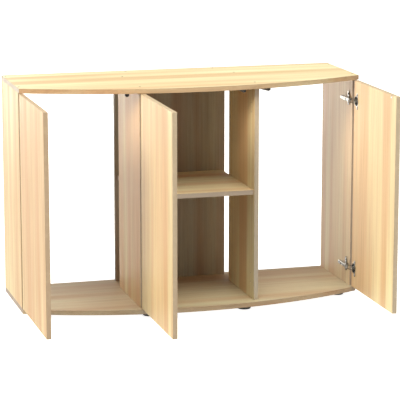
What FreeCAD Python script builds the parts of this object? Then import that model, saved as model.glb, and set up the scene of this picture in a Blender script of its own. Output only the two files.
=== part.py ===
"""Bow-front aquarium stand with three doors, modelled board by board in millimetres.

+X runs to the right along the front, +Y to the rear, +Z up. The feet stand on Z = 0 and the origin
is the middle of the box that the stand fills with its doors standing open, which is how it rests.
"""
import FreeCAD, Part
import math
import os

from FreeCAD import Vector

# Carcass
width = 1210.0
side_depth = 334.0         # front corner of the top to its rear edge
bow = 131.0                # how far the middle of the front stands out past its corners
box_height = 780.0         # underside of the bottom panel to the top of the top panel
board = 16.0
edging = 2.0               # strip on the bowed front edges
foot_height = 20.0
bay_width = 391.0          # clear width of the centre bay
divider_front = 88.0       # dividers reach this far forward of the front corners
divider_depth = 308.0
back_width = 410.0
back_inset = 11.0          # back panel stands in from the rear edge
shelf_underside = 390.0    # above the underside of the bottom panel
shelf_setback = 8.0        # behind the front of the dividers

# Doors
facet = 15.0               # each outer door closes at this angle to the rear
outer_door = 404.0         # widths
centre_door = 408.0
door_gap = 2.0             # to the carcass in front, above and below
centre_overlap = 5.0       # hinge edge of the closed centre door, in from the outer face of its divider

# Concealed hinges
cup_radius = 17.5
cup_depth = 11.5
cup_wall = 1.0
cup_centre = 22.5          # from the hinge edge of the door
hinge_from_end = 71.0      # hinge centre to the top or bottom of the door
plate_setback = 37.0       # hinge plate screws behind the front of their panel
plate_spacing = 32.0
plate_hole_radius = 2.5    # unused system holes
plate_screw_radius = 3.0   # outside of the thread, which widens the hole that it is driven into
plate_clearance = 3.2      # holes in the plate, wide enough to slide it for height
door_pin = (12.0, -14.0)   # link pin in the cup, from the hinge corner of the open door
link_elbow = (22.0, -13.0)
arm_pin = (30.0, 11.0)     # link pin in the arm

# Push latches
latch_from_edge = 43.0     # latch centre line to the free edge of its door
latch_radius = 7.5
latch_length = 62.0
latch_nose = 6.0            # front of the housing to the strike plate of a closed door
latch_screw_back = 7.0      # fixing screw behind the round body
latch_drop = 8.5           # centre line below the top panel
plunger_gap = 0.6          # plunger tip to the strike plate of a closed door
strike_thick = 1.0

# Feet and screws
foot_radius = 25.0
corner_foot = (53.0, 50.0)     # in from the side, and behind the front corners
inner_foot = (434.0, -53.0)
rear_foot_inset = 45.0
screw_head = 3.6
screw_shank = 2.5
screw_length = 48.0

# Places worked out from the dimensions above
half = width / 2
divider_x = bay_width / 2
slope = math.tan(math.radians(facet))
side_run = half - divider_x - board                    # outer face of a side to its divider
side_front = side_run * slope - divider_front          # sides start this far behind the corners
facet_normal = Vector(math.sin(math.radians(facet)), math.cos(math.radians(facet)), 0)
facet_along = Vector(facet_normal.y, -facet_normal.x, 0)
outer_edge = (side_run * facet_normal.x - divider_front * facet_normal.y - door_gap - board) / facet_normal.y
throw = side_front - outer_edge                        # open door's hinge edge ahead of its panel
door_reach = divider_front + throw + centre_door
corner_y = (door_reach - side_depth) / 2               # Y of the front corners
rear_y = corner_y + side_depth
floor_z = foot_height + board
top_z = foot_height + box_height
ceiling_z = top_z - board
door_low = floor_z + door_gap
door_high = ceiling_z - door_gap
hinge_heights = (door_low + hinge_from_end, door_high - hinge_from_end)
divider_y = corner_y - divider_front
shelf_z = foot_height + shelf_underside
back_y = rear_y - back_inset - board
up = Vector(0, 0, 1)


def block(x0, x1, y0, y1, z0, z1):
    return Part.makeBox(x1 - x0, y1 - y0, z1 - z0, Vector(x0, y0, z0))


def rod(radius, start, direction, length):
    return Part.makeCylinder(radius, length, Vector(start), Vector(direction))


def softened(solid, radius=0.6):
    """The solid with all its arrises eased."""
    return solid.makeFillet(radius, solid.Edges)


def end_edges(solid, direction):
    """Edges that lie wholly in the outermost face of a solid along a direction."""
    direction = Vector(direction)
    reach = max(vertex.Point.dot(direction) for vertex in solid.Vertexes)
    return [edge for edge in solid.Edges
            if all(abs(vertex.Point.dot(direction) - reach) < 0.01 for vertex in edge.Vertexes)]


def edges_along(solid, direction):
    """Straight edges of a solid that run along a direction."""
    return [edge for edge in solid.Edges
            if abs(edge.tangentAt(edge.FirstParameter).dot(Vector(direction))) > 0.9
            and isinstance(edge.Curve, Part.Line)]


def fused(solids):
    first, *others = solids
    return first.multiFuse(others).removeSplitter() if others else first


def save(node, *solids):
    shape = solids[0] if len(solids) == 1 else Part.makeCompound(list(solids))
    shape.exportStep(f"parts/{node}.step")


# Boards

def bowed_outline(inset):
    """Closed wire of the top and bottom panels, with the front edge moved back by inset."""
    corner = corner_y + inset
    rear_left, rear_right = Vector(-half, rear_y, 0), Vector(half, rear_y, 0)
    left, right = Vector(-half, corner, 0), Vector(half, corner, 0)
    arc = Part.Arc(left, Vector(0, corner - bow, 0), right)
    return Part.Wire([
        Part.LineSegment(rear_right, rear_left).toShape(),
        Part.LineSegment(rear_left, left).toShape(),
        arc.toShape(),
        Part.LineSegment(right, rear_right).toShape(),
    ])


def bowed_board(z, inset):
    face = Part.Face(bowed_outline(inset))
    return face.extrude(up * board).translated(up * z)


def screw(head_centre, direction, length=screw_length, head=screw_head, shank=screw_shank):
    """Countersunk screw with a crossed recess; its head lies 0.3 mm under the surface."""
    direction = Vector(direction)
    start = Vector(head_centre) + direction * 0.3
    cone = Part.makeCone(head, shank, head - shank + 1.2, start, direction)
    body = cone.fuse(rod(shank, start, direction, length)).removeSplitter()
    across = Vector(0, 1, 0) if abs(direction.y) < 0.5 else Vector(1, 0, 0)
    side = direction.cross(across)
    for turn in (across, side):
        slot = Part.makeBox(4.4, 0.9, 1.6, Vector(-2.2, -0.45, 0))
        slot.Placement = FreeCAD.Placement(
            start, FreeCAD.Rotation(turn, direction.cross(turn), direction, "ZXY"))
        body = body.cut(slot)
    return body


def screw_hole(head_centre, direction, length=screw_length, head=screw_head, shank=screw_shank):
    """The countersink and bore that a screw sits in, 0.05 mm clear of it."""
    direction = Vector(direction)
    clear = 0.05
    start = Vector(head_centre) + direction * 0.3
    mouth = rod(head + clear, Vector(head_centre) - direction, direction, 1.3)
    cone = Part.makeCone(head + clear, shank + clear, head - shank + 1.2, start, direction)
    bore = rod(shank + clear, start, direction, length + 0.5)
    return fused([mouth, cone, bore])


side_screws = [(sign * (half - board / 2), corner_y + y) for sign in (-1, 1) for y in (47, 297)]
divider_screws = [(sign * (divider_x + board / 2), corner_y + y) for sign in (-1, 1) for y in (-62, 189)]
back_screws = [(sign * 161.0, back_y + board / 2) for sign in (-1, 1)]
carcass_screws = side_screws + divider_screws + back_screws

foot_places = []
for sign in (-1, 1):
    for inset, y in (corner_foot, inner_foot, (corner_foot[0], side_depth - rear_foot_inset),
                     (inner_foot[0], side_depth - rear_foot_inset)):
        foot_places.append((sign * (half - inset), corner_y + y))


def top_holes():
    return [screw_hole((x, y, top_z), (0, 0, -1)) for x, y in carcass_screws]


def bottom_holes():
    return [screw_hole((x, y, foot_height), (0, 0, 1)) for x, y in carcass_screws]


def drilled(solid, holes):
    box = solid.BoundBox
    reached = [hole for hole in holes if box.intersect(hole.BoundBox)]
    return solid.cut(Part.makeCompound(reached)) if reached else solid


def foot_holes():
    return [rod(1.85, (x, y, foot_height - 0.5), up, 13.0) for x, y in foot_places]


def front_strip(z):
    """Edging along the bowed front of one panel."""
    whole = bowed_board(z, 0.0)
    return softened(whole.cut(bowed_board(z, edging)), 0.4)


def plate_holes(face_x, into, front_y, radius=plate_screw_radius + 0.05):
    """System holes for the two hinge plates on one upright, bored along X from face_x."""
    holes = []
    for height in hinge_heights:
        for shift in (-plate_spacing / 2, plate_spacing / 2):
            start = (face_x - into * 0.5, front_y + plate_setback, height + shift)
            holes.append(rod(radius, start, (into, 0, 0), 12.5))
    return holes


def support_holes(sign):
    holes = []
    for y in (divider_y + 60, divider_y + divider_depth - 50):
        start = (sign * (divider_x - 0.5), y, shelf_z - 2.6)
        holes.append(rod(2.5, start, (sign, 0, 0), 9.5))
    return holes


def upright(x0, y0, y1, holes):
    """One vertical board between the bottom and top panels."""
    board_solid = block(x0, x0 + board, y0, y1, floor_z, ceiling_z)
    return drilled(board_solid.makeFillet(0.6, edges_along(board_solid, up)), holes)


def build_boards():
    save("top_panel", drilled(bowed_board(ceiling_z, edging), top_holes() + latch_holes()))
    save("top_front_edging", front_strip(ceiling_z))
    save("bottom_panel", drilled(bowed_board(foot_height, edging), bottom_holes() + foot_holes()))
    save("bottom_front_edging", front_strip(foot_height))

    holes = top_holes() + bottom_holes()
    sides_y = corner_y + side_front
    save("left_side_panel",
         upright(-half, sides_y, rear_y, holes + plate_holes(-half + board, -1, sides_y)))
    save("right_side_panel",
         upright(half - board, sides_y, rear_y, holes + plate_holes(half - board, 1, sides_y)))
    for node, sign in (("left_divider", -1), ("right_divider", 1)):
        x0 = divider_x if sign > 0 else -divider_x - board
        used = plate_screw_radius + 0.05 if sign < 0 else plate_hole_radius
        extra = plate_holes(sign * divider_x, sign, divider_y, used) + support_holes(sign)
        save(node, upright(x0, divider_y, divider_y + divider_depth, holes + extra))

    back = block(-back_width / 2, back_width / 2, back_y, back_y + board, floor_z, ceiling_z)
    save("back_panel", drilled(back, holes))
    shelf = block(-divider_x, divider_x, divider_y + shelf_setback, back_y, shelf_z, shelf_z + board)
    save("centre_shelf", shelf)

    save("top_screws", *[screw((x, y, top_z), (0, 0, -1)) for x, y in carcass_screws])
    save("bottom_screws", *[screw((x, y, foot_height), (0, 0, 1)) for x, y in carcass_screws])


def build_shelf_supports():
    """Four pins: a thin end in the divider and a thicker one, flat on top, under the shelf."""
    supports = []
    for sign in (-1, 1):
        for y in (divider_y + 60, divider_y + divider_depth - 50):
            start = Vector(sign * divider_x, y, shelf_z - 2.6)
            outward = Vector(sign, 0, 0)
            thin = rod(2.45, start - outward * 0.5, outward, 8.5)
            collar = rod(4.5, start - outward * 1.5, outward, 1.5)
            tongue = rod(3.5, start - outward * 9, outward, 7.8)
            pin = fused([thin, collar, tongue])
            above = block(start.x - 12, start.x + 12, y - 6, y + 6, shelf_z, shelf_z + 6)
            supports.append(pin.cut(above))
    save("shelf_supports", *supports)


def build_feet():
    feet, screws = {"front": [], "rear": []}, []
    for x, y in foot_places:
        foot = rod(foot_radius, (x, y, 0), up, foot_height)
        foot = foot.makeChamfer(1.5, end_edges(foot, (0, 0, -1)))
        foot = foot.cut(rod(7.0, (x, y, -1), up, 13.0))
        foot = foot.cut(rod(2.1, (x, y, 5), up, foot_height))
        feet["rear" if y > corner_y + side_depth / 2 else "front"].append(foot)
        head = rod(4.6, (x, y, 9.6), up, 2.4)
        head = head.makeFillet(0.8, end_edges(head, (0, 0, -1)))
        screws.append(fused([head, rod(1.8, (x, y, 11.5), up, 19.5)]))
    save("front_feet", *feet["front"])
    save("rear_feet", *feet["rear"])
    save("foot_screws", *screws)


# Doors and their hinges

def plan_polygon(points, z0, z1):
    corners = [Vector(x, y, z0) for x, y in points]
    face = Part.Face(Part.makePolygon(corners + corners[:1]))
    return face.extrude(up * (z1 - z0))


def strap(start, end, half_width, z0, z1):
    """Flat bar in plan with round ends, from start to end."""
    a, b = Vector(*start, 0), Vector(*end, 0)
    across = (b - a).normalize().cross(up) * half_width
    corners = [a + across, b + across, b - across, a - across]
    bar = plan_polygon([(p.x, p.y) for p in corners], z0, z1)
    ends = [rod(half_width, (p.x, p.y, z0), up, z1 - z0) for p in (a, b)]
    return fused([bar] + ends)


def cup():
    """35 mm cup with a winged flange, on a door whose hinge corner is the local origin."""
    y = -cup_centre
    shell = rod(cup_radius, (board - cup_depth, y, 0), (1, 0, 0), cup_depth)
    disc = rod(19.0, (board, y, 0), (1, 0, 0), 1.2)
    wing = block(board, board + 1.2, y - 15.5, y - 3.5, -29, 29)
    wing = wing.makeFillet(5.5, edges_along(wing, (1, 0, 0)))
    hollow = rod(cup_radius - cup_wall, (board - cup_depth + 0.8, y, 0), (1, 0, 0), 20)
    solid = fused([shell, disc, wing]).cut(hollow)
    for z in (-22.5, 22.5):
        solid = solid.cut(rod(1.85, (board - 1, y - 9.5, z), (1, 0, 0), 4))
    return solid


def cup_screws():
    screws = []
    for z in (-22.5, 22.5):
        place = (board + 1.2, -cup_centre - 9.5, z)
        head = rod(3.6, place, (1, 0, 0), 1.6)
        head = head.makeFillet(0.7, end_edges(head, (1, 0, 0)))
        shank = rod(1.75, (board - 9.0, place[1], z), (1, 0, 0), 10.5)
        slot = block(place[0] + 0.8, place[0] + 3, place[1] - 2.2, place[1] + 2.2, z - 0.4, z + 0.4)
        screws.append(fused([head, shank]).cut(slot))
    return screws


def hinge_plate():
    """Winged plate screwed to the panel behind the door, with the boss that carries the arm."""
    y = throw + plate_setback
    wing = block(board, board + 2.5, y - 7, y + 7, -25, 25)
    wing = wing.makeFillet(6.5, edges_along(wing, (1, 0, 0)))
    boss = block(board, board + 8, y - 24, y + 24, -4.6, 4.6)
    boss = boss.makeFillet(1.2, edges_along(boss, (1, 0, 0)))
    solid = fused([wing, boss])
    for z in (-plate_spacing / 2, plate_spacing / 2):
        solid = solid.cut(rod(plate_clearance, (board - 1, y, z), (1, 0, 0), 6))
    return solid


def hinge_plate_screws():
    y = throw + plate_setback
    screws = []
    for z in (-plate_spacing / 2, plate_spacing / 2):
        head = rod(4.2, (board + 2.5, y, z), (1, 0, 0), 1.6)
        head = head.makeFillet(0.7, end_edges(head, (1, 0, 0)))
        shank = rod(plate_screw_radius, (board - 11, y, z), (1, 0, 0), 14)
        slots = [block(board + 3.3, board + 6, y - 2.4, y + 2.4, z - 0.45, z + 0.45),
                 block(board + 3.3, board + 6, y - 0.45, y + 0.45, z - 2.4, z + 2.4)]
        screws.append(fused([head, shank]).cut(slots[0]).cut(slots[1]))
    return screws


def hinge_arm():
    """Channel that lies over the boss of its plate and carries the fixed link pin in its nose."""
    x, y = arm_pin
    rear = throw + plate_setback + 38
    outside = block(x - 5.5, x + 4, y, rear, -6, 6)
    long_edges = [edge for edge in edges_along(outside, (0, 1, 0)) if edge.BoundBox.XMin > x]
    outside = outside.makeFillet(1.5, long_edges)
    channel = block(x - 9, x + 2.6, y + 5, rear + 1, -4.8, 4.8)
    nose = rod(4.0, (x, y, -6), up, 12)
    below = block(x - 9, x, y - 4, y + 8, -7, 7).cut(rod(4.0, (x, y, -7), up, 14))
    toe = block(x - 4, x + 4, y, y + 6, -6, 6)
    solid = fused([outside.cut(below), nose, toe]).cut(channel)
    pin = rod(1.5, (x, y, -6.35), up, 12.7)
    screws_at = (throw + plate_setback - 14, throw + plate_setback + 14)
    for place in screws_at:
        solid = solid.cut(rod(2.3, (x + 1, place, 0), (1, 0, 0), 6))
    return solid.fuse(pin).removeSplitter()


def arm_screws():
    """The depth screw and the clamping screw of one arm, through its web into the boss."""
    x = arm_pin[0]
    screws = []
    for place in (throw + plate_setback - 14, throw + plate_setback + 14):
        head = rod(3.4, (x + 4, place, 0), (1, 0, 0), 1.6)
        shank = rod(2.2, (board + 8, place, 0), (1, 0, 0), x + 4 - board - 7.9)
        slot = block(x + 4.8, x + 7, place - 2.2, place + 2.2, -0.45, 0.45)
        cross = block(x + 4.8, x + 7, place - 0.45, place + 0.45, -2.2, 2.2)
        screws.append(fused([head, shank]).cut(slot).cut(cross))
    return screws


def hinge_link():
    """Two cranked plates on one pin, which fold into the cup as the door closes."""
    plates = []
    for z in (6.5, -7.5):
        lower = strap(door_pin, link_elbow, 2.6, z, z + 1.0)
        upper = strap(link_elbow, arm_pin, 2.6, z, z + 1.0)
        plates.append(fused([lower, upper]))
    pin = rod(1.5, (*door_pin, -9), up, 18)
    near = (door_pin[0] + 1.5, door_pin[1])
    far = (door_pin[0] + 4.0, door_pin[1] + 0.3)
    bridge = strap(near, far, 1.2, -7.5, 7.5)
    return fused(plates + [pin, bridge])


def set_on(solid, corner, mirrored, height=0.0):
    """Takes a solid from the local frame of a left-hinged open door to its place."""
    placed = solid.mirror(Vector(0, 0, 0), Vector(1, 0, 0)) if mirrored else solid.copy()
    return placed.translated(Vector(corner[0], corner[1], height))


def at_both_heights(solids, corner, mirrored):
    return [set_on(solid, corner, mirrored, height) for height in hinge_heights for solid in solids]


doors = {
    "left": {"corner": (-half, corner_y + outer_edge), "width": outer_door, "mirrored": False},
    "centre": {"corner": (-divider_x - board, divider_y - throw), "width": centre_door, "mirrored": False},
    "right": {"corner": (half, corner_y + outer_edge), "width": outer_door, "mirrored": True},
}


def strike_height():
    return ceiling_z - latch_drop


def strike(door_width):
    """Steel disc on the inner face of a door, where the latch meets it."""
    y = latch_from_edge - door_width
    disc = rod(5.0, (board, y, strike_height()), (1, 0, 0), strike_thick)
    return disc.makeFillet(0.4, end_edges(disc, (1, 0, 0)))


def build_doors():
    for name, door in doors.items():
        corner, mirrored, door_width = door["corner"], door["mirrored"], door["width"]
        slab = softened(block(0, board, -door_width, 0, door_low, door_high))
        for height in hinge_heights:
            seat = (board - cup_depth - 0.1, -cup_centre, height)
            slab = slab.cut(rod(cup_radius + 0.1, seat, (1, 0, 0), 20))
            for z in (-22.5, 22.5):
                pilot = (board - 9.2, -cup_centre - 9.5, height + z)
                slab = slab.cut(rod(1.8, pilot, (1, 0, 0), 10))
        save(f"{name}_door", set_on(slab, corner, mirrored))
        save(f"{name}_hinge_cups", *at_both_heights([cup()], corner, mirrored))
        save(f"{name}_cup_screws", *at_both_heights(cup_screws(), corner, mirrored))
        save(f"{name}_hinge_links", *at_both_heights([hinge_link()], corner, mirrored))
        save(f"{name}_hinge_arms", *at_both_heights([hinge_arm()], corner, mirrored))
        save(f"{name}_hinge_plates", *at_both_heights([hinge_plate()], corner, mirrored))
        save(f"{name}_strike_plate", set_on(strike(door_width), corner, mirrored))

    everywhere = {"hinge_plate_screws": hinge_plate_screws(), "arm_adjusting_screws": arm_screws()}
    for node, solids in everywhere.items():
        placed = []
        for door in doors.values():
            placed += at_both_heights(solids, door["corner"], door["mirrored"])
        save(node, *placed)


# Push latches

def latch_places():
    """Where each plunger meets its closed door, and the direction that it is pushed in."""
    reach = outer_door - latch_from_edge
    corner = Vector(-half, corner_y + outer_edge, 0)
    left = corner + facet_along * reach + facet_normal * (board + strike_thick)
    right = Vector(-left.x, left.y, 0)
    closed_x = -divider_x - board + centre_overlap
    centre = Vector(closed_x + centre_door - latch_from_edge, divider_y - door_gap + strike_thick, 0)
    mirrored_normal = Vector(-facet_normal.x, facet_normal.y, 0)
    return {
        "left": (left, facet_normal),
        "centre": (centre, Vector(0, 1, 0)),
        "right": (right, mirrored_normal),
    }


def latch_housing():
    """Round body under a flat base with one screw ear; it opens toward -Y at the origin."""
    nose = latch_nose
    tail = nose + latch_length
    body = rod(latch_radius, (0, nose, 0), (0, 1, 0), latch_length)
    base = block(-9, 9, nose + 1, tail + 14, latch_drop - 2.4, latch_drop)
    base = base.makeFillet(5.0, edges_along(base, up))
    web = block(-latch_radius, latch_radius, nose + 1, tail - 1, 0, latch_drop - 1)
    solid = fused([body, base, web]).cut(rod(4.1, (0, nose - 1, 0), (0, 1, 0), 42))
    return solid.cut(rod(2.0, (0, tail + latch_screw_back, 0), up, 20))


def latch_plunger():
    tip = rod(5.2, (0, plunger_gap, 0), (0, 1, 0), 3.6)
    tip = tip.makeFillet(1.0, end_edges(tip, (0, -1, 0)))
    return fused([tip, rod(4.0, (0, plunger_gap + 3, 0), (0, 1, 0), 38)])


def latch_screw():
    y = latch_nose + latch_length + latch_screw_back
    head = rod(3.4, (0, y, latch_drop - 3.9), up, 1.5)
    return fused([head, rod(1.7, (0, y, latch_drop - 3), up, 14)])


def at_latch(solid, place, inward):
    turn = FreeCAD.Rotation(Vector(0, 1, 0), inward)
    moved = solid.copy()
    moved.Placement = FreeCAD.Placement(place + up * strike_height(), turn)
    return moved


def latch_holes():
    """Pilot holes in the underside of the top panel."""
    y = latch_nose + latch_length + latch_screw_back
    pilot = rod(1.75, (0, y, latch_drop - 0.5), up, 12)
    return [at_latch(pilot, *spot) for spot in latch_places().values()]


def build_latches():
    for name, spot in latch_places().items():
        save(f"{name}_latch_housing", at_latch(latch_housing(), *spot))
        save(f"{name}_latch_plunger", at_latch(latch_plunger(), *spot))
    save("latch_screws", *[at_latch(latch_screw(), *spot) for spot in latch_places().values()])


os.makedirs("parts", exist_ok=True)
build_boards()
build_shelf_supports()
build_feet()
build_doors()
build_latches()
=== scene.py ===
import bpy
import math
from mathutils import Matrix, Vector


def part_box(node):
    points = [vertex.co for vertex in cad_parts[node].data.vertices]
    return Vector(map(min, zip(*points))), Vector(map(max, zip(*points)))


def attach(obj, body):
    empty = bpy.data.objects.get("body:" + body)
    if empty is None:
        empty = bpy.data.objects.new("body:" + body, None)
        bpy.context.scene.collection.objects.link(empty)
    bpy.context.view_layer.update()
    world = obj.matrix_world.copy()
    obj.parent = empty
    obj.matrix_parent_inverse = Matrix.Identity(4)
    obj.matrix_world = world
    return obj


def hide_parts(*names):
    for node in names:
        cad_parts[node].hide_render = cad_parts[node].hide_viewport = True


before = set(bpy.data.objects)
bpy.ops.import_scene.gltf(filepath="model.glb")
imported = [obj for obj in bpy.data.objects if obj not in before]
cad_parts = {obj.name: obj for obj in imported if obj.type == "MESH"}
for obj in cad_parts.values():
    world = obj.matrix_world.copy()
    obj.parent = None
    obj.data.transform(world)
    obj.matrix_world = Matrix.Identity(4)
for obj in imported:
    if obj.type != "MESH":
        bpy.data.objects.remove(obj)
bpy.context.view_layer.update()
mm = 0.001
smoothAngle = math.radians(32)


# small helpers for working on one piece at a time

def clearSelection():
    if bpy.context.object and bpy.context.object.mode != "OBJECT":
        bpy.ops.object.mode_set(mode="OBJECT")
    bpy.ops.object.select_all(action="DESELECT")


def pickOnly(piece):
    clearSelection()
    piece.select_set(True)
    bpy.context.view_layer.objects.active = piece


def addBlock(name, low, high):
    clearSelection()
    centre = [(a + b) / 2 * mm for a, b in zip(low, high)]
    bpy.ops.mesh.primitive_cube_add(size=1, location=centre)
    piece = bpy.context.object
    piece.name = name
    piece.scale = [(b - a) * mm for a, b in zip(low, high)]
    bpy.ops.object.transform_apply(location=True, rotation=True, scale=True)
    return piece


def roundCorners(piece, axis, radius, segments=6):
    # bevels the edges that run along one axis
    pickOnly(piece)
    bpy.ops.object.mode_set(mode="EDIT")
    bpy.ops.mesh.select_mode(type="EDGE")
    bpy.ops.mesh.select_all(action="DESELECT")
    bpy.ops.object.mode_set(mode="OBJECT")
    for edge in piece.data.edges:
        a, b = [piece.data.vertices[i].co for i in edge.vertices]
        edge.select = abs((b - a).normalized().dot(Vector(axis))) > 0.99
    bpy.ops.object.mode_set(mode="EDIT")
    bpy.ops.mesh.bevel(offset=radius * mm, segments=segments, affect="EDGES")
    bpy.ops.object.mode_set(mode="OBJECT")


def easeEdges(piece, width, segments=2):
    pickOnly(piece)
    bevel = piece.modifiers.new("easedEdges", "BEVEL")
    bevel.width = width * mm
    bevel.segments = segments
    bevel.limit_method = "ANGLE"
    bevel.angle_limit = math.radians(35)
    bpy.ops.object.modifier_apply(modifier=bevel.name)
    bpy.ops.object.shade_smooth_by_angle(angle=smoothAngle)


def carve(piece, cutter):
    pickOnly(piece)
    cut = piece.modifiers.new("cut", "BOOLEAN")
    cut.operation = "DIFFERENCE"
    cut.solver = "EXACT"
    cut.object = cutter
    bpy.ops.object.modifier_apply(modifier=cut.name)
    bpy.data.objects.remove(cutter, do_unlink=True)


def turnProfile(name, profile, steps=48):
    # a closed outline of (radius, height) spun once round the Z axis
    clearSelection()
    bpy.ops.mesh.primitive_plane_add(size=mm)
    piece = bpy.context.object
    piece.name = name
    bpy.ops.object.mode_set(mode="EDIT")
    bpy.ops.mesh.select_mode(type="VERT")
    bpy.ops.mesh.select_all(action="SELECT")
    bpy.ops.mesh.merge(type="CENTER")
    first = Vector((profile[0][0] * mm, 0, profile[0][1] * mm))
    bpy.ops.transform.translate(value=first)
    for before, after in zip(profile, profile[1:]):
        step = ((after[0] - before[0]) * mm, 0, (after[1] - before[1]) * mm)
        bpy.ops.mesh.extrude_region_move(TRANSFORM_OT_translate={"value": step})
    bpy.ops.mesh.select_all(action="SELECT")
    bpy.ops.mesh.spin(steps=steps, angle=math.tau, center=(0, 0, 0), axis=(0, 0, 1))
    bpy.ops.mesh.select_all(action="SELECT")
    bpy.ops.mesh.remove_doubles(threshold=0.00001)
    bpy.ops.mesh.delete_loose()
    bpy.ops.mesh.normals_make_consistent(inside=False)
    bpy.ops.object.mode_set(mode="OBJECT")
    bpy.ops.object.shade_smooth_by_angle(angle=smoothAngle)
    return piece


def addRod(name, radius, low, high, steps):
    # a plain rod on the Z axis, to cut holes with
    return turnProfile(name, [(0, low), (radius, low), (radius, high), (0, high)], steps)


def moveShape(piece, matrix):
    piece.data.transform(matrix)
    if matrix.determinant() < 0:
        piece.data.flip_normals()
    return piece


def copyShape(piece, name, matrix):
    twin = piece.copy()
    twin.data = piece.data.copy()
    twin.name = name
    bpy.context.collection.objects.link(twin)
    return moveShape(twin, matrix)


def joinAll(name, shapes):
    clearSelection()
    for shape in shapes:
        shape.select_set(True)
    bpy.context.view_layer.objects.active = shapes[0]
    bpy.ops.object.join()
    shapes[0].name = name
    shapes[0].data.name = name
    return shapes[0]


def shift(x, y, z):
    return Matrix.Translation((x * mm, y * mm, z * mm))


# points the Z axis of a turned shape along X
alongX = Matrix.Rotation(math.radians(90), 4, "Y")
# points it along -Y, out of the front of a latch
alongY = Matrix.Rotation(math.radians(-90), 4, "X")


# shared shader effects

def newGroup(name, inputs, outputs):
    group = bpy.data.node_groups.new(name, "ShaderNodeTree")
    for label, kind, value in inputs:
        socket = group.interface.new_socket(name=label, in_out="INPUT", socket_type=kind)
        if value is not None:
            socket.default_value = value
    for label, kind in outputs:
        group.interface.new_socket(name=label, in_out="OUTPUT", socket_type=kind)
    return group, group.nodes.new("NodeGroupInput"), group.nodes.new("NodeGroupOutput")


def stretchedNoise(group, vector, stretch, scale, detail, distortion=0.0):
    squeeze = group.nodes.new("ShaderNodeVectorMath")
    squeeze.operation = "MULTIPLY"
    squeeze.inputs[1].default_value = stretch
    noise = group.nodes.new("ShaderNodeTexNoise")
    noise.inputs["Scale"].default_value = scale
    noise.inputs["Detail"].default_value = detail
    noise.inputs["Distortion"].default_value = distortion
    group.links.new(vector, squeeze.inputs[0])
    group.links.new(squeeze.outputs[0], noise.inputs["Vector"])
    return noise.outputs["Fac"]


def remap(group, value, low, high, toLow=0.0, toHigh=1.0):
    node = group.nodes.new("ShaderNodeMapRange")
    node.inputs["From Min"].default_value = low
    node.inputs["From Max"].default_value = high
    node.inputs["To Min"].default_value = toLow
    node.inputs["To Max"].default_value = toHigh
    group.links.new(value, node.inputs["Value"])
    return node.outputs["Result"]


def sums(group, operation, first, second):
    node = group.nodes.new("ShaderNodeMath")
    node.operation = operation
    for socket, value in zip(node.inputs, (first, second)):
        if isinstance(value, (int, float)):
            socket.default_value = value
        else:
            group.links.new(value, socket)
    return node.outputs[0]


def blendColours(group, mask, first, second):
    node = group.nodes.new("ShaderNodeMix")
    node.data_type = "RGBA"
    group.links.new(mask, node.inputs["Factor"])
    group.links.new(first, node.inputs["A"])
    group.links.new(second, node.inputs["B"])
    return node.outputs["Result"]


# each layer of board grain: stretch along the board, scale, detail and distortion
# of its noise, the noise where it starts and is full, and how strongly it then shows
grainLayers = {
    "drift": (0.45, 3.2, 1.0, 0.0, 0.36, 0.62, 0.45),
    "band": (0.04, 13, 1.5, 0.15, 0.40, 0.61, 1.0),
    "vein": (0.03, 48, 2.0, 0.10, 0.46, 0.74, 0.42),
    "streak": (0.02, 120, 3.0, 0.10, 0.48, 0.76, 0.40),
    "fibre": (0.012, 420, 2.0, 0.0, 0.38, 0.66, 0.18),
    "pore": (0.05, 900, 1.0, 0.0, 0.66, 0.76, 0.35),
}
grainSheen = {"noise": (0.3, 0.7), "roughness": (0.42, 0.56)}


def makeGrainGroup():
    # board grain along local Z, from slow drift and broad bands down to short pores
    group, start, end = newGroup(
        "boardGrain",
        [("Vector", "NodeSocketVector", None), ("Cream", "NodeSocketColor", (1, 1, 1, 1)),
         ("Peach", "NodeSocketColor", (1, 1, 1, 1)), ("Streak", "NodeSocketColor", (1, 1, 1, 1)),
         ("Depth", "NodeSocketFloat", 1.0)],
        [("Colour", "NodeSocketColor"), ("Roughness", "NodeSocketFloat"),
         ("Height", "NodeSocketFloat")])
    vector = start.outputs["Vector"]
    noise, mask = {}, {}
    for layer, values in grainLayers.items():
        stretch, scale, detail, distortion, starts, full, strength = values
        noise[layer] = stretchedNoise(group, vector, (1, 1, stretch), scale, detail, distortion)
        mask[layer] = remap(group, noise[layer], starts, full, 0.0, strength)
    mask["streak"] = sums(group, "MULTIPLY", mask["streak"], start.outputs["Depth"])
    peach, dark = start.outputs["Peach"], start.outputs["Streak"]
    colour = blendColours(group, mask["band"], start.outputs["Cream"], peach)
    for layer, tone in (("drift", peach), ("vein", peach), ("streak", dark), ("fibre", dark),
                        ("pore", dark)):
        colour = blendColours(group, mask[layer], colour, tone)
    group.links.new(colour, end.inputs["Colour"])
    rough = remap(group, noise["streak"], *grainSheen["noise"], *grainSheen["roughness"])
    group.links.new(rough, end.inputs["Roughness"])
    height = sums(group, "SUBTRACT", noise["fibre"], mask["pore"])
    group.links.new(height, end.inputs["Height"])
    return group


# where a board counts as edge strip, and the two sides of the seam, in metres from the arris; the
# rest places and sizes a painted highlight along the arrises
edgeLook = {
    "facing": (0.75, 0.45), "seamStarts": (0.0007, 0.0010), "seamEnds": (0.0016, 0.0012),
    "highlightReach": (0.0011, 0.0002), "highlightScale": 45, "highlightDetail": 3.0, "highlightPatches": (0.5, 0.7),
    "seamStrength": 0.38, "highlightStrength": 0.12, "roughness": 0.06,
}


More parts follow.
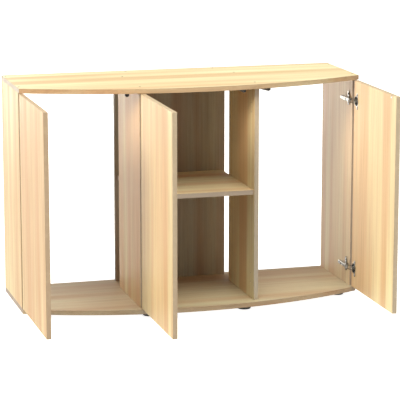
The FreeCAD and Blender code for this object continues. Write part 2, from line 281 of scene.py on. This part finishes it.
def makeBandGroup():
    # finds a board's edge strips, the seam beside them, and a painted highlight in patches along
    # the arrises
    group, start, end = newGroup(
        "bandedEdge",
        [("Place", "NodeSocketVector", None), ("Facing", "NodeSocketVector", None),
         ("Low", "NodeSocketVector", (0, 0, 0)), ("High", "NodeSocketVector", (1, 1, 1)),
         ("Thickness", "NodeSocketVector", (0, 0, 1))],
        [("Band", "NodeSocketFloat"), ("Seam", "NodeSocketFloat"), ("PaintedHighlight", "NodeSocketFloat")])

    def vectorMath(operation, first, second):
        node = group.nodes.new("ShaderNodeVectorMath")
        node.operation = operation
        for socket, value in zip(node.inputs, (first, second)):
            group.links.new(value, socket)
        return node

    place, thickness = start.outputs["Place"], start.outputs["Thickness"]
    facing = vectorMath("DOT_PRODUCT", start.outputs["Facing"], thickness).outputs["Value"]
    flat = sums(group, "ABSOLUTE", facing, 0)
    band = remap(group, flat, *edgeLook["facing"])
    fromLow = vectorMath("SUBTRACT", place, start.outputs["Low"]).outputs[0]
    fromHigh = vectorMath("SUBTRACT", start.outputs["High"], place).outputs[0]
    nearest = vectorMath("MINIMUM", fromLow, fromHigh).outputs[0]
    # the thickness direction is pushed out of the comparison
    lifted = vectorMath("ADD", nearest, thickness).outputs[0]
    parts = group.nodes.new("ShaderNodeSeparateXYZ")
    group.links.new(lifted, parts.inputs[0])
    edge = sums(group, "MINIMUM", parts.outputs[0], parts.outputs[1])
    edge = sums(group, "MINIMUM", edge, parts.outputs[2])
    inner = remap(group, edge, *edgeLook["seamStarts"])
    outer = remap(group, edge, *edgeLook["seamEnds"])
    onFace = sums(group, "SUBTRACT", 1.0, band)
    seam = sums(group, "MULTIPLY", sums(group, "MULTIPLY", inner, outer), onFace)
    # painted highlight: lighter patches close to each arris
    highlightNoise = stretchedNoise(group, place, (1, 1, 1), edgeLook["highlightScale"], edgeLook["highlightDetail"])
    patches = remap(group, highlightNoise, *edgeLook["highlightPatches"])
    highlight = sums(group, "MULTIPLY", remap(group, edge, *edgeLook["highlightReach"]), patches)
    group.links.new(band, end.inputs["Band"])
    group.links.new(seam, end.inputs["Seam"])
    group.links.new(highlight, end.inputs["PaintedHighlight"])
    return group


handledLook = {
    "smudgeScale": 130, "smudgeDetail": 3.0, "smudges": (0.40, 0.68), "speckleDetail": 2,
    "bumpDepth": 0.0001,
}


def makeHandledGroup():
    # fine speckle and faint smudges for metal and moulded plastic
    group, start, end = newGroup(
        "handledSurface",
        [("Vector", "NodeSocketVector", None), ("Base", "NodeSocketColor", (1, 1, 1, 1)),
         ("Dull", "NodeSocketColor", (1, 1, 1, 1)), ("Speckle", "NodeSocketFloat", 900.0),
         ("Smooth", "NodeSocketFloat", 0.25), ("Rough", "NodeSocketFloat", 0.4)],
        [("Colour", "NodeSocketColor"), ("Roughness", "NodeSocketFloat"),
         ("Height", "NodeSocketFloat")])
    smudges = stretchedNoise(group, start.outputs["Vector"], (1, 1, 1),
                             handledLook["smudgeScale"], handledLook["smudgeDetail"])
    speckle = group.nodes.new("ShaderNodeTexNoise")
    speckle.inputs["Detail"].default_value = handledLook["speckleDetail"]
    group.links.new(start.outputs["Vector"], speckle.inputs["Vector"])
    group.links.new(start.outputs["Speckle"], speckle.inputs["Scale"])
    mask = remap(group, smudges, *handledLook["smudges"])
    colour = blendColours(group, mask, start.outputs["Base"], start.outputs["Dull"])
    span = sums(group, "SUBTRACT", start.outputs["Rough"], start.outputs["Smooth"])
    rough = sums(group, "ADD", start.outputs["Smooth"], sums(group, "MULTIPLY", mask, span))
    group.links.new(colour, end.inputs["Colour"])
    group.links.new(rough, end.inputs["Roughness"])
    group.links.new(speckle.outputs["Fac"], end.inputs["Height"])
    return group


grainGroup = makeGrainGroup()
bandGroup = makeBandGroup()
handledGroup = makeHandledGroup()


def screenColour(red, green, blue):
    # a colour as it looks on screen, turned into the value that a shader takes
    def one(value):
        value /= 255
        return value / 12.92 if value <= 0.04045 else ((value + 0.055) / 1.055) ** 2.4
    return (one(red), one(green), one(blue), 1)


def newMaterial(name):
    material = bpy.data.materials.new(name)
    material.use_nodes = True
    return material, material.node_tree, material.node_tree.nodes["Principled BSDF"]


def placeGroup(tree, group):
    node = tree.nodes.new("ShaderNodeGroup")
    node.node_tree = group
    return node


def bumpFrom(tree, shader, height, strength, distance):
    bump = tree.nodes.new("ShaderNodeBump")
    bump.inputs["Strength"].default_value = strength
    bump.inputs["Distance"].default_value = distance
    tree.links.new(height, bump.inputs["Height"])
    tree.links.new(bump.outputs["Normal"], shader.inputs["Normal"])


# the pale arris colour is a painted highlight along the arrises
wood = {
    "cream": (246, 236, 196), "peach": (226, 190, 147), "streak": (170, 138, 102),
    "edgeCream": (200, 184, 165), "edgePeach": (194, 175, 154), "edgeStreak": (176, 153, 131),
    "seam": (120, 90, 62), "arrisHighlight": (250, 232, 200), "depth": 0.8, "shine": 0.35,
    "bump": 0.12, "bumpDepth": 0.0002,
}

# turns that bring each grain direction onto local Z
grainTurns = {"X": (0, math.radians(-90), 0), "Z": (0, 0, 0)}
# how far each board's grain is moved on from the board before it
grainStep = (1.37, 0.83, 2.11)


def woodTones(prefix, lightingTint):
    tones = {}
    for label in ("Cream", "Peach", "Streak"):
        colour = screenColour(*wood[prefix + label if prefix else label.lower()])
        # each tone is scaled by the board's tint, which paints light and shade onto that board
        tones[label] = [c * t for c, t in zip(colour, lightingTint)] + [1]
    return tones


def boardMaterial(node, grain, thickness, lightingTint):
    # one material for each board, so no two boards share a stretch of grain
    material, tree, shader = newMaterial(node + "Wood")
    low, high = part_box(node)
    place = tree.nodes.new("ShaderNodeTexCoord")
    turn = tree.nodes.new("ShaderNodeMapping")
    turn.inputs["Rotation"].default_value = grainTurns[grain]
    number = sorted(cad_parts).index(node)
    turn.inputs["Location"].default_value = [number * step for step in grainStep]
    tree.links.new(place.outputs["Object"], turn.inputs["Vector"])

    face, strip = placeGroup(tree, grainGroup), placeGroup(tree, grainGroup)
    for effect, prefix in ((face, ""), (strip, "edge")):
        tree.links.new(turn.outputs["Vector"], effect.inputs["Vector"])
        effect.inputs["Depth"].default_value = wood["depth"]
        for label, value in woodTones(prefix, lightingTint).items():
            effect.inputs[label].default_value = value
    band = placeGroup(tree, bandGroup)
    tree.links.new(place.outputs["Object"], band.inputs["Place"])
    tree.links.new(place.outputs["Normal"], band.inputs["Facing"])
    band.inputs["Low"].default_value = low
    band.inputs["High"].default_value = high
    band.inputs["Thickness"].default_value = thickness
    colour = blendColours(tree, band.outputs["Band"], face.outputs["Colour"],
                          strip.outputs["Colour"])
    # a dark seam line, then the painted highlight along the arrises
    for output, strength, tone in (("Seam", edgeLook["seamStrength"], wood["seam"]),
                                   ("PaintedHighlight", edgeLook["highlightStrength"], wood["arrisHighlight"])):
        over = tree.nodes.new("ShaderNodeRGB")
        over.outputs[0].default_value = screenColour(*tone)
        amount = sums(tree, "MULTIPLY", band.outputs[output], strength)
        colour = blendColours(tree, amount, colour, over.outputs[0])
    tree.links.new(colour, shader.inputs["Base Color"])
    edgeRough = sums(tree, "MULTIPLY", band.outputs["Band"], edgeLook["roughness"])
    rough = sums(tree, "ADD", face.outputs["Roughness"], edgeRough)
    tree.links.new(rough, shader.inputs["Roughness"])
    shader.inputs["Specular IOR Level"].default_value = wood["shine"]
    bumpFrom(tree, shader, face.outputs["Height"], wood["bump"], wood["bumpDepth"])
    return material


def handledMaterial(name, base, dull, smooth, rough, speckle, metallic, bump, shine=0.5):
    material, tree, shader = newMaterial(name)
    place = tree.nodes.new("ShaderNodeTexCoord")
    effect = placeGroup(tree, handledGroup)
    tree.links.new(place.outputs["Object"], effect.inputs["Vector"])
    effect.inputs["Base"].default_value = screenColour(*base)
    effect.inputs["Dull"].default_value = screenColour(*dull)
    effect.inputs["Smooth"].default_value = smooth
    effect.inputs["Rough"].default_value = rough
    effect.inputs["Speckle"].default_value = speckle
    tree.links.new(effect.outputs["Colour"], shader.inputs["Base Color"])
    tree.links.new(effect.outputs["Roughness"], shader.inputs["Roughness"])
    shader.inputs["Metallic"].default_value = metallic
    shader.inputs["Specular IOR Level"].default_value = shine
    bumpFrom(tree, shader, effect.outputs["Height"], bump, handledLook["bumpDepth"])
    return material


nickel = handledMaterial(
    "hingeNickel", (150, 149, 146), (98, 96, 92),
    smooth=0.18, rough=0.36, speckle=700, metallic=1.0, bump=0.04)
zincSteel = handledMaterial(
    "zincSteel", (186, 188, 190), (138, 138, 136),
    smooth=0.28, rough=0.46, speckle=800, metallic=1.0, bump=0.06)
darkSteel = handledMaterial(
    "darkSteel", (17, 14, 12), (10, 9, 8),
    smooth=0.6, rough=0.8, speckle=800, metallic=0.0, bump=0.08, shine=0.05)
greyPlastic = handledMaterial(
    "latchGreyPlastic", (118, 118, 122), (92, 92, 96),
    smooth=0.38, rough=0.52, speckle=1500, metallic=0.0, bump=0.2)
blackPlastic = handledMaterial(
    "latchBlackPlastic", (34, 34, 36), (22, 22, 24),
    smooth=0.40, rough=0.58, speckle=1500, metallic=0.0, bump=0.2)
footPlastic = handledMaterial(
    "footPlastic", (26, 26, 27), (44, 43, 41),
    smooth=0.45, rough=0.70, speckle=1100, metallic=0.0, bump=0.3)

# boards: grain direction, thickness direction and the tint that each one takes; the tints are
# painted light and shade, darkening the boards that sit in shade (most of all the back panel, the
# bottom panel and the front edgings) and lifting or dimming the others to how light falls on each
boards = {
    "top_panel": ("X", (0, 0, 1), (1.0, 1.08, 1.14)),
    "bottom_panel": ("X", (0, 0, 1), (0.71, 0.73, 0.83)),
    "centre_shelf": ("X", (0, 0, 1), (0.96, 0.99, 1.08)),
    "back_panel": ("Z", (0, 1, 0), (0.45, 0.48, 0.57)),
    "left_side_panel": ("Z", (1, 0, 0), (0.97, 0.96, 0.89)),
    "right_side_panel": ("Z", (1, 0, 0), (0.88, 0.86, 0.90)),
    "left_divider": ("Z", (1, 0, 0), (0.97, 0.96, 0.91)),
    "right_divider": ("Z", (1, 0, 0), (1.02, 1.08, 1.14)),
    "left_door": ("Z", (1, 0, 0), (0.92, 0.86, 0.79)),
    "centre_door": ("Z", (1, 0, 0), (0.97, 0.97, 0.92)),
    "right_door": ("Z", (1, 0, 0), (1.0, 1.02, 0.99)),
    "top_front_edging": ("X", (0, 1, 0), (0.72, 0.70, 0.74)),
    "bottom_front_edging": ("X", (0, 1, 0), (0.72, 0.70, 0.74)),
}


def paint(node, material):
    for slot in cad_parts[node].material_slots:
        slot.material = material


for node, (grain, thickness, lightingTint) in boards.items():
    paint(node, boardMaterial(node, grain, thickness, lightingTint))
for node in ("arm_adjusting_screws", "foot_screws", "shelf_supports", "latch_screws"):
    paint(node, zincSteel)
for side in ("left", "centre", "right"):
    paint(side + "_hinge_links", nickel)
    paint(side + "_hinge_arms", nickel)
print("boards and fittings painted")


def finishPiece(piece, material, body, node):
    piece.data.materials.clear()
    piece.data.materials.append(material)
    for polygon in piece.data.polygons:
        polygon.material_index = 0
    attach(piece, body)
    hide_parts(node)


def crossCutter(reach, width, low, high):
    # two plain bars that cross, each to be cut on its own
    first = addBlock("crossA", (-reach, -width / 2, low), (reach, width / 2, high))
    second = addBlock("crossB", (-width / 2, -reach, low), (width / 2, reach, high))
    return first, second


def headedScrew(name, profile, reach, width, recessTop, recessDepth):
    screw = turnProfile(name, profile, 32)
    for bar in crossCutter(reach, width, recessTop - recessDepth, recessTop + 1):
        carve(screw, bar)
    pickOnly(screw)
    bpy.ops.object.shade_smooth_by_angle(angle=smoothAngle)
    return screw


# carcass screws, countersunk in the top and bottom panels
carcassScrew = {
    "headRadius": 3.6, "shankRadius": 2.5, "tipRadius": 0.6, "length": 48, "tipLength": 4,
    "sunk": 0.06, "coneDepth": 2.3, "crossReach": 2.1, "crossWidth": 0.9, "crossDepth": 1.5,
    "sideX": 597, "sideY": (137.3175, 387.3175), "dividerX": 203.5,
    "dividerY": (28.3175, 279.3175), "backX": 161, "backY": 405.3175, "topZ": 800, "bottomZ": 20,
}
screwPlaces = []
for along, across in (("sideX", "sideY"), ("dividerX", "dividerY")):
    screwPlaces += [(sign * carcassScrew[along], y)
                    for sign in (-1, 1) for y in carcassScrew[across]]
screwPlaces += [(sign * carcassScrew["backX"], carcassScrew["backY"]) for sign in (-1, 1)]
head, shank = carcassScrew["headRadius"], carcassScrew["shankRadius"]
headZ = -carcassScrew["sunk"]
tipZ = -carcassScrew["length"] + headZ
longScrew = headedScrew("longScrew", [
    (0, tipZ), (carcassScrew["tipRadius"], tipZ),
    (shank - 0.3, -carcassScrew["length"] + carcassScrew["tipLength"]),
    (shank, headZ - carcassScrew["coneDepth"]), (head - 0.1, headZ - 0.35),
    (head, headZ - 0.1), (head - 0.2, headZ), (0, headZ)],
    carcassScrew["crossReach"], carcassScrew["crossWidth"], headZ, carcassScrew["crossDepth"])
topSet = [copyShape(longScrew, "one", shift(x, y, carcassScrew["topZ"])) for x, y in screwPlaces]
upsideDown = Matrix.Rotation(math.pi, 4, "X")
bottomSet = [copyShape(longScrew, "one", shift(x, y, carcassScrew["bottomZ"]) @ upsideDown)
             for x, y in screwPlaces]
bpy.data.objects.remove(longScrew, do_unlink=True)
finishPiece(joinAll("topScrewSet", topSet), darkSteel, "carcass", "top_screws")
finishPiece(joinAll("bottomScrewSet", bottomSet), darkSteel,
            "carcass", "bottom_screws")
print("carcass screws made")


# concealed hinges, modelled for one open left-hung door and set at every hinge
hinge = {
    "board": 16, "heights": (109, 711),
    "cupRadius": 17.5, "cupDepth": 11.5, "cupWall": 1.0, "cupY": -22.5,
    "flangeRadius": 19, "flange": 1.2, "wingBack": (15.5, 3.5), "wingHalf": 29, "wingCorner": 5.5,
    "screwZ": 22.5, "screwBack": 9.5, "screwHole": 1.85,
    "plateY": 55.635, "plateHalf": 25, "plateWide": 7, "plateThick": 2.5, "plateCorner": 6.5,
    "plateScrewZ": 16, "plateHole": 3.2, "bossHalf": 24, "bossWide": 4.6, "bossHigh": 8,
}
# where each door's hinge edge stands, and whether the door hangs on the right
doorCorners = {
    "left": (-605, 89.1205, False), "centre": (-211.5, -16.3175, False),
    "right": (605, 89.1205, True),
}
bottomX = hinge["board"] - hinge["cupDepth"]
faceX = hinge["board"]
rimX = faceX + hinge["flange"]
cup, flange, cupY = hinge["cupRadius"], hinge["flangeRadius"], hinge["cupY"]
innerCup = cup - hinge["cupWall"]
cupBody = turnProfile("cupBody", [
    (0, bottomX), (15.6, bottomX), (cup - 0.5, bottomX + 0.5), (cup, bottomX + 1.4),
    (cup, faceX), (flange, faceX), (flange, faceX + 0.8), (flange - 0.4, rimX),
    (innerCup + 0.3, rimX), (innerCup, faceX + 0.8), (innerCup, bottomX + 2.0),
    (15.2, bottomX + 0.8), (0, bottomX + 0.8)], 64)
moveShape(cupBody, shift(0, cupY, 0) @ alongX)
wingFar, wingNear = [cupY - back for back in hinge["wingBack"]]
wing = addBlock("wing", (faceX, wingFar, -hinge["wingHalf"]), (rimX, wingNear, hinge["wingHalf"]))
roundCorners(wing, (1, 0, 0), hinge["wingCorner"])
cupSpace = addRod("cupSpace", 18.2, faceX - 3, faceX + 4, 64)
carve(wing, moveShape(cupSpace, shift(0, cupY, 0) @ alongX))
cupScrewSpots = [(rimX, cupY - hinge["screwBack"], z) for z in (-hinge["screwZ"], hinge["screwZ"])]
for _, y, z in cupScrewSpots:
    hole = addRod("hole", hinge["screwHole"], faceX - 3, faceX + 4, 24)
    carve(wing, moveShape(hole, shift(0, y, z) @ alongX))
easeEdges(wing, 0.25)
cupShape = joinAll("cupShape", [cupBody, wing])

plateX, plateY = faceX + hinge["plateThick"], hinge["plateY"]
platePlan = addBlock("platePlan", (faceX, plateY - hinge["plateWide"], -hinge["plateHalf"]),
                     (plateX, plateY + hinge["plateWide"], hinge["plateHalf"]))
roundCorners(platePlan, (1, 0, 0), hinge["plateCorner"])
plateScrewSpots = [(plateX, plateY, z) for z in (-hinge["plateScrewZ"], hinge["plateScrewZ"])]
for _, y, z in plateScrewSpots:
    hole = addRod("hole", hinge["plateHole"], faceX - 2, faceX + 4, 32)
    carve(platePlan, moveShape(hole, shift(0, y, z) @ alongX))
easeEdges(platePlan, 0.4)
boss = addBlock("boss", (faceX, plateY - hinge["bossHalf"], -hinge["bossWide"]),
                (faceX + hinge["bossHigh"], plateY + hinge["bossHalf"], hinge["bossWide"]))
roundCorners(boss, (1, 0, 0), 1.2, 4)
easeEdges(boss, 0.35)
plateShape = joinAll("plateShape", [platePlan, boss])


def panScrew(name, head, thick, shank, length, crossReach):
    # its shank runs down from the origin and its domed head stands on it
    return headedScrew(name, [
        (0, -length), (shank * 0.6, -length), (shank, -length + 1.2), (shank, 0), (head, 0),
        (head, thick * 0.55), (head * 0.86, thick * 0.88), (head * 0.6, thick), (0, thick)],
        crossReach, 0.85, thick, thick * 0.5)


cupScrew = moveShape(
    panScrew("cupScrew", head=3.6, thick=1.6, shank=1.75, length=10.2, crossReach=2.2), alongX)
plateScrew = moveShape(
    panScrew("plateScrew", head=4.2, thick=1.6, shank=3.0, length=13.5, crossReach=2.4), alongX)


def handed(mirrored):
    return Matrix.Scale(-1, 4, (1, 0, 0)) if mirrored else Matrix.Identity(4)


def setAtHinges(name, shape, side, offsets=((0, 0, 0),)):
    x, y, mirrored = doorCorners[side]
    copies = []
    for height in hinge["heights"]:
        for offset in offsets:
            spot = shift(x, y, height) @ handed(mirrored) @ shift(*offset)
            copies.append(copyShape(shape, "one", spot))
    return joinAll(name, copies)


plateScrewSets = []
for side in doorCorners:
    leaf = side + "_leaf"
    cups = setAtHinges(side + "HingeCups", cupShape, side)
    finishPiece(cups, nickel, leaf, side + "_hinge_cups")
    screws = setAtHinges(side + "CupScrews", cupScrew, side, cupScrewSpots)
    finishPiece(screws, zincSteel, leaf, side + "_cup_screws")
    plates = setAtHinges(side + "HingePlates", plateShape, side)
    finishPiece(plates, nickel, "carcass", side + "_hinge_plates")
    plateScrewSets.append(setAtHinges(side + "PlateScrews", plateScrew, side, plateScrewSpots))
finishPiece(joinAll("hingePlateScrews", plateScrewSets), zincSteel,
            "carcass", "hinge_plate_screws")
for spare in (cupShape, plateShape, cupScrew, plateScrew):
    bpy.data.objects.remove(spare, do_unlink=True)
print("hinges made")


# push latches, each opening toward -Y at the strike plate of its closed door
latch = {
    "radius": 7.5, "bore": 4.1, "nose": 6.0, "length": 62, "drop": 8.5, "height": 775.5,
    "ribs": 5, "ribStep": 4, "baseHalf": 9, "baseThick": 2.4, "baseTail": 14, "screwTail": 7,
    "gap": 0.6, "travelDepth": 41,
    "places": {"left": (-251.902, 12.107, -15), "centre": (158.5, 1.3175, 0),
               "right": (251.902, 12.107, 15)},
}
nose, radius, bore = latch["nose"], latch["radius"], latch["bore"]
tail = nose + latch["length"]
bodyProfile = [(bore, nose + 0.4), (4.5, nose), (radius - 1.0, nose), (radius, nose + 1.0)]
for rib in range(latch["ribs"]):
    at = nose + 8 + rib * latch["ribStep"]
    bodyProfile += [(radius, at), (radius - 0.5, at + 0.5), (radius - 0.5, at + 1.5),
                    (radius, at + 2)]
bodyProfile += [(radius, tail - 2.0), (radius - 0.6, tail - 0.6), (radius - 2.0, tail), (0, tail),
                (0, nose + latch["travelDepth"]), (bore, nose + latch["travelDepth"]),
                (bore, nose + 0.4)]
latchBody = moveShape(turnProfile("latchBody", bodyProfile, 40), alongY)
half, drop = latch["baseHalf"], latch["drop"]
latchBase = addBlock("latchBase", (-half, nose + 1, drop - latch["baseThick"]),
                     (half, tail + latch["baseTail"], drop))
roundCorners(latchBase, (0, 0, 1), 5)
carve(latchBase, moveShape(addRod("hole", 2.0, 0, 20, 24), shift(0, tail + latch["screwTail"], 0)))
easeEdges(latchBase, 0.4)
latchShape = joinAll("latchShape", [latchBody, latchBase])
tip = latch["gap"]
plungerShape = moveShape(turnProfile("plungerShape", [
    (0, tip), (3.9, tip), (4.8, tip + 0.3), (5.2, tip + 1.0), (5.2, tip + 3.1), (4.7, tip + 3.6),
    (4.0, tip + 3.6), (4.0, tip + 40.4), (3.4, tip + 41), (0, tip + 41)], 40), alongY)
for side, (x, y, angle) in latch["places"].items():
    spot = shift(x, y, latch["height"]) @ Matrix.Rotation(math.radians(angle), 4, "Z")
    # painted shade: the left housing, the same part as the two grey ones, is given the black
    # plastic so that it looks as dark as its shaded end
    tone = greyPlastic if side != "left" else blackPlastic
    housing = copyShape(latchShape, side + "LatchHousing", spot)
    finishPiece(housing, tone, "carcass", side + "_latch_housing")
    plunger = copyShape(plungerShape, side + "LatchPlunger", spot)
    finishPiece(plunger, blackPlastic, side + "_plunger", side + "_latch_plunger")
for spare in (latchShape, plungerShape):
    bpy.data.objects.remove(spare, do_unlink=True)

# strike plate on each door, where the latch meets it
strike = {
    "radius": 5, "thick": 1.0, "fromEdge": 43,
    "widths": {"left": 404, "centre": 408, "right": 404},
}
for side, (x, y, mirrored) in doorCorners.items():
    disc = turnProfile(side + "StrikePlate", [
        (0, 0), (strike["radius"], 0), (strike["radius"], 0.6), (4.6, strike["thick"]),
        (2.0, strike["thick"]), (1.7, 0.75), (0, 0.75)], 40)
    onDoor = shift(faceX, strike["fromEdge"] - strike["widths"][side], 0)
    spot = shift(x, y, latch["height"]) @ handed(mirrored) @ onDoor
    finishPiece(moveShape(disc, spot @ alongX), zincSteel,
                side + "_leaf", side + "_strike_plate")
print("latches made")


# low round feet, screwed up into the bottom panel
foot = {
    "radius": 25, "height": 20, "hollow": 7.0, "hollowTop": 12, "screwHole": 2.1,
    "cornerX": 552, "innerX": 171, "cornerY": 140.3175, "innerY": 37.3175, "rearY": 379.3175,
}
wide, tall = foot["radius"], foot["height"]
hollow, roof, screwHole = foot["hollow"], foot["hollowTop"], foot["screwHole"]
footShape = turnProfile("footShape", [
    (hollow, 0.6), (hollow + 0.6, 0), (wide - 2.2, 0), (wide - 1.4, 0.9), (wide - 1.4, 4.2),
    (wide - 0.6, 5.0), (wide, 6.0), (wide, 12.2), (wide - 0.5, 12.8), (wide - 0.5, 13.6),
    (wide, 14.2), (wide, 18.6), (wide - 0.8, 19.6), (wide - 1.6, tall), (screwHole, tall),
    (screwHole, roof), (hollow, roof), (hollow, 0.6)], 56)
frontFeet, rearFeet = [], []
for sign in (-1, 1):
    for x, y in ((foot["cornerX"], foot["cornerY"]), (foot["innerX"], foot["innerY"])):
        frontFeet.append(copyShape(footShape, "one", shift(sign * x, y, 0)))
        rearFeet.append(copyShape(footShape, "one", shift(sign * x, foot["rearY"], 0)))
bpy.data.objects.remove(footShape, do_unlink=True)
finishPiece(joinAll("frontFeet", frontFeet), footPlastic, "carcass", "front_feet")
finishPiece(joinAll("rearFeet", rearFeet), footPlastic, "carcass", "rear_feet")
print("feet made")


# plain pale studio
studio = {
    "floor": (246, 246, 245), "size": 60, "roughness": 0.9, "glow": 0.86,
    "worldTint": (0.98, 0.98, 1.0, 1), "worldLight": 0.37,
}
# each soft light: place, what it points at, size, power and tint
lamps = {
    "keyLight": ((-15.0, -8.0, 8.4), (0, 0, 0.4), 6.4, 2760, (1.0, 0.85, 0.62)),
    "topLight": ((0, -1.6, 4.2), (0, 0, 0.5), 2.6, 148, (1.0, 0.98, 0.78)),
    "rearLight": ((-1.0, 5.2, 0.95), (0, 0, 0.35), 2.4, 145, (1.0, 0.94, 0.85)),
}
clearSelection()
bpy.ops.mesh.primitive_plane_add(size=studio["size"], location=(0, 0, 0))
floor = bpy.context.object
floor.name = "studioFloor"
floorMaterial, _, shader = newMaterial("studioFloor")
shader.inputs["Base Color"].default_value = screenColour(*studio["floor"])
shader.inputs["Roughness"].default_value = studio["roughness"]
shader.inputs["Emission Color"].default_value = (1, 1, 1, 1)
shader.inputs["Emission Strength"].default_value = studio["glow"]
floor.data.materials.append(floorMaterial)
floor.visible_diffuse = False  # the floor looks pale and throws no light up

world = bpy.data.worlds.new("studioWorld")
world.use_nodes = True
background = world.node_tree.nodes["Background"]
background.inputs["Color"].default_value = studio["worldTint"]
background.inputs["Strength"].default_value = studio["worldLight"]
bpy.context.scene.world = world


def softLight(name, place, target, size, power, lightingTint):
    lamp = bpy.data.lights.new(name, "AREA")
    lamp.shape = "SQUARE"
    lamp.size = size
    lamp.energy = power
    lamp.color = lightingTint
    holder = bpy.data.objects.new(name, lamp)
    holder.location = place
    holder.rotation_euler = (Vector(target) - Vector(place)).to_track_quat("-Z", "Y").to_euler()
    bpy.context.collection.objects.link(holder)
    holder.visible_camera = False


for name, values in lamps.items():
    softLight(name, *values)

camera = {
    "place": (-1.827, -6.456, 1.787), "yaw": 15.80, "tilt": 11.65, "lens": 179.8, "sensor": 36,
}
lens = bpy.data.cameras.new("studioCamera")
lens.lens = camera["lens"]
lens.sensor_width = camera["sensor"]
view = bpy.data.objects.new("studioCamera", lens)
view.location = camera["place"]
view.rotation_euler = (math.radians(90 - camera["tilt"]), 0, math.radians(-camera["yaw"]))
bpy.context.collection.objects.link(view)
bpy.context.scene.camera = view
bpy.context.scene.view_settings.view_transform = "Standard"
print("studio ready")
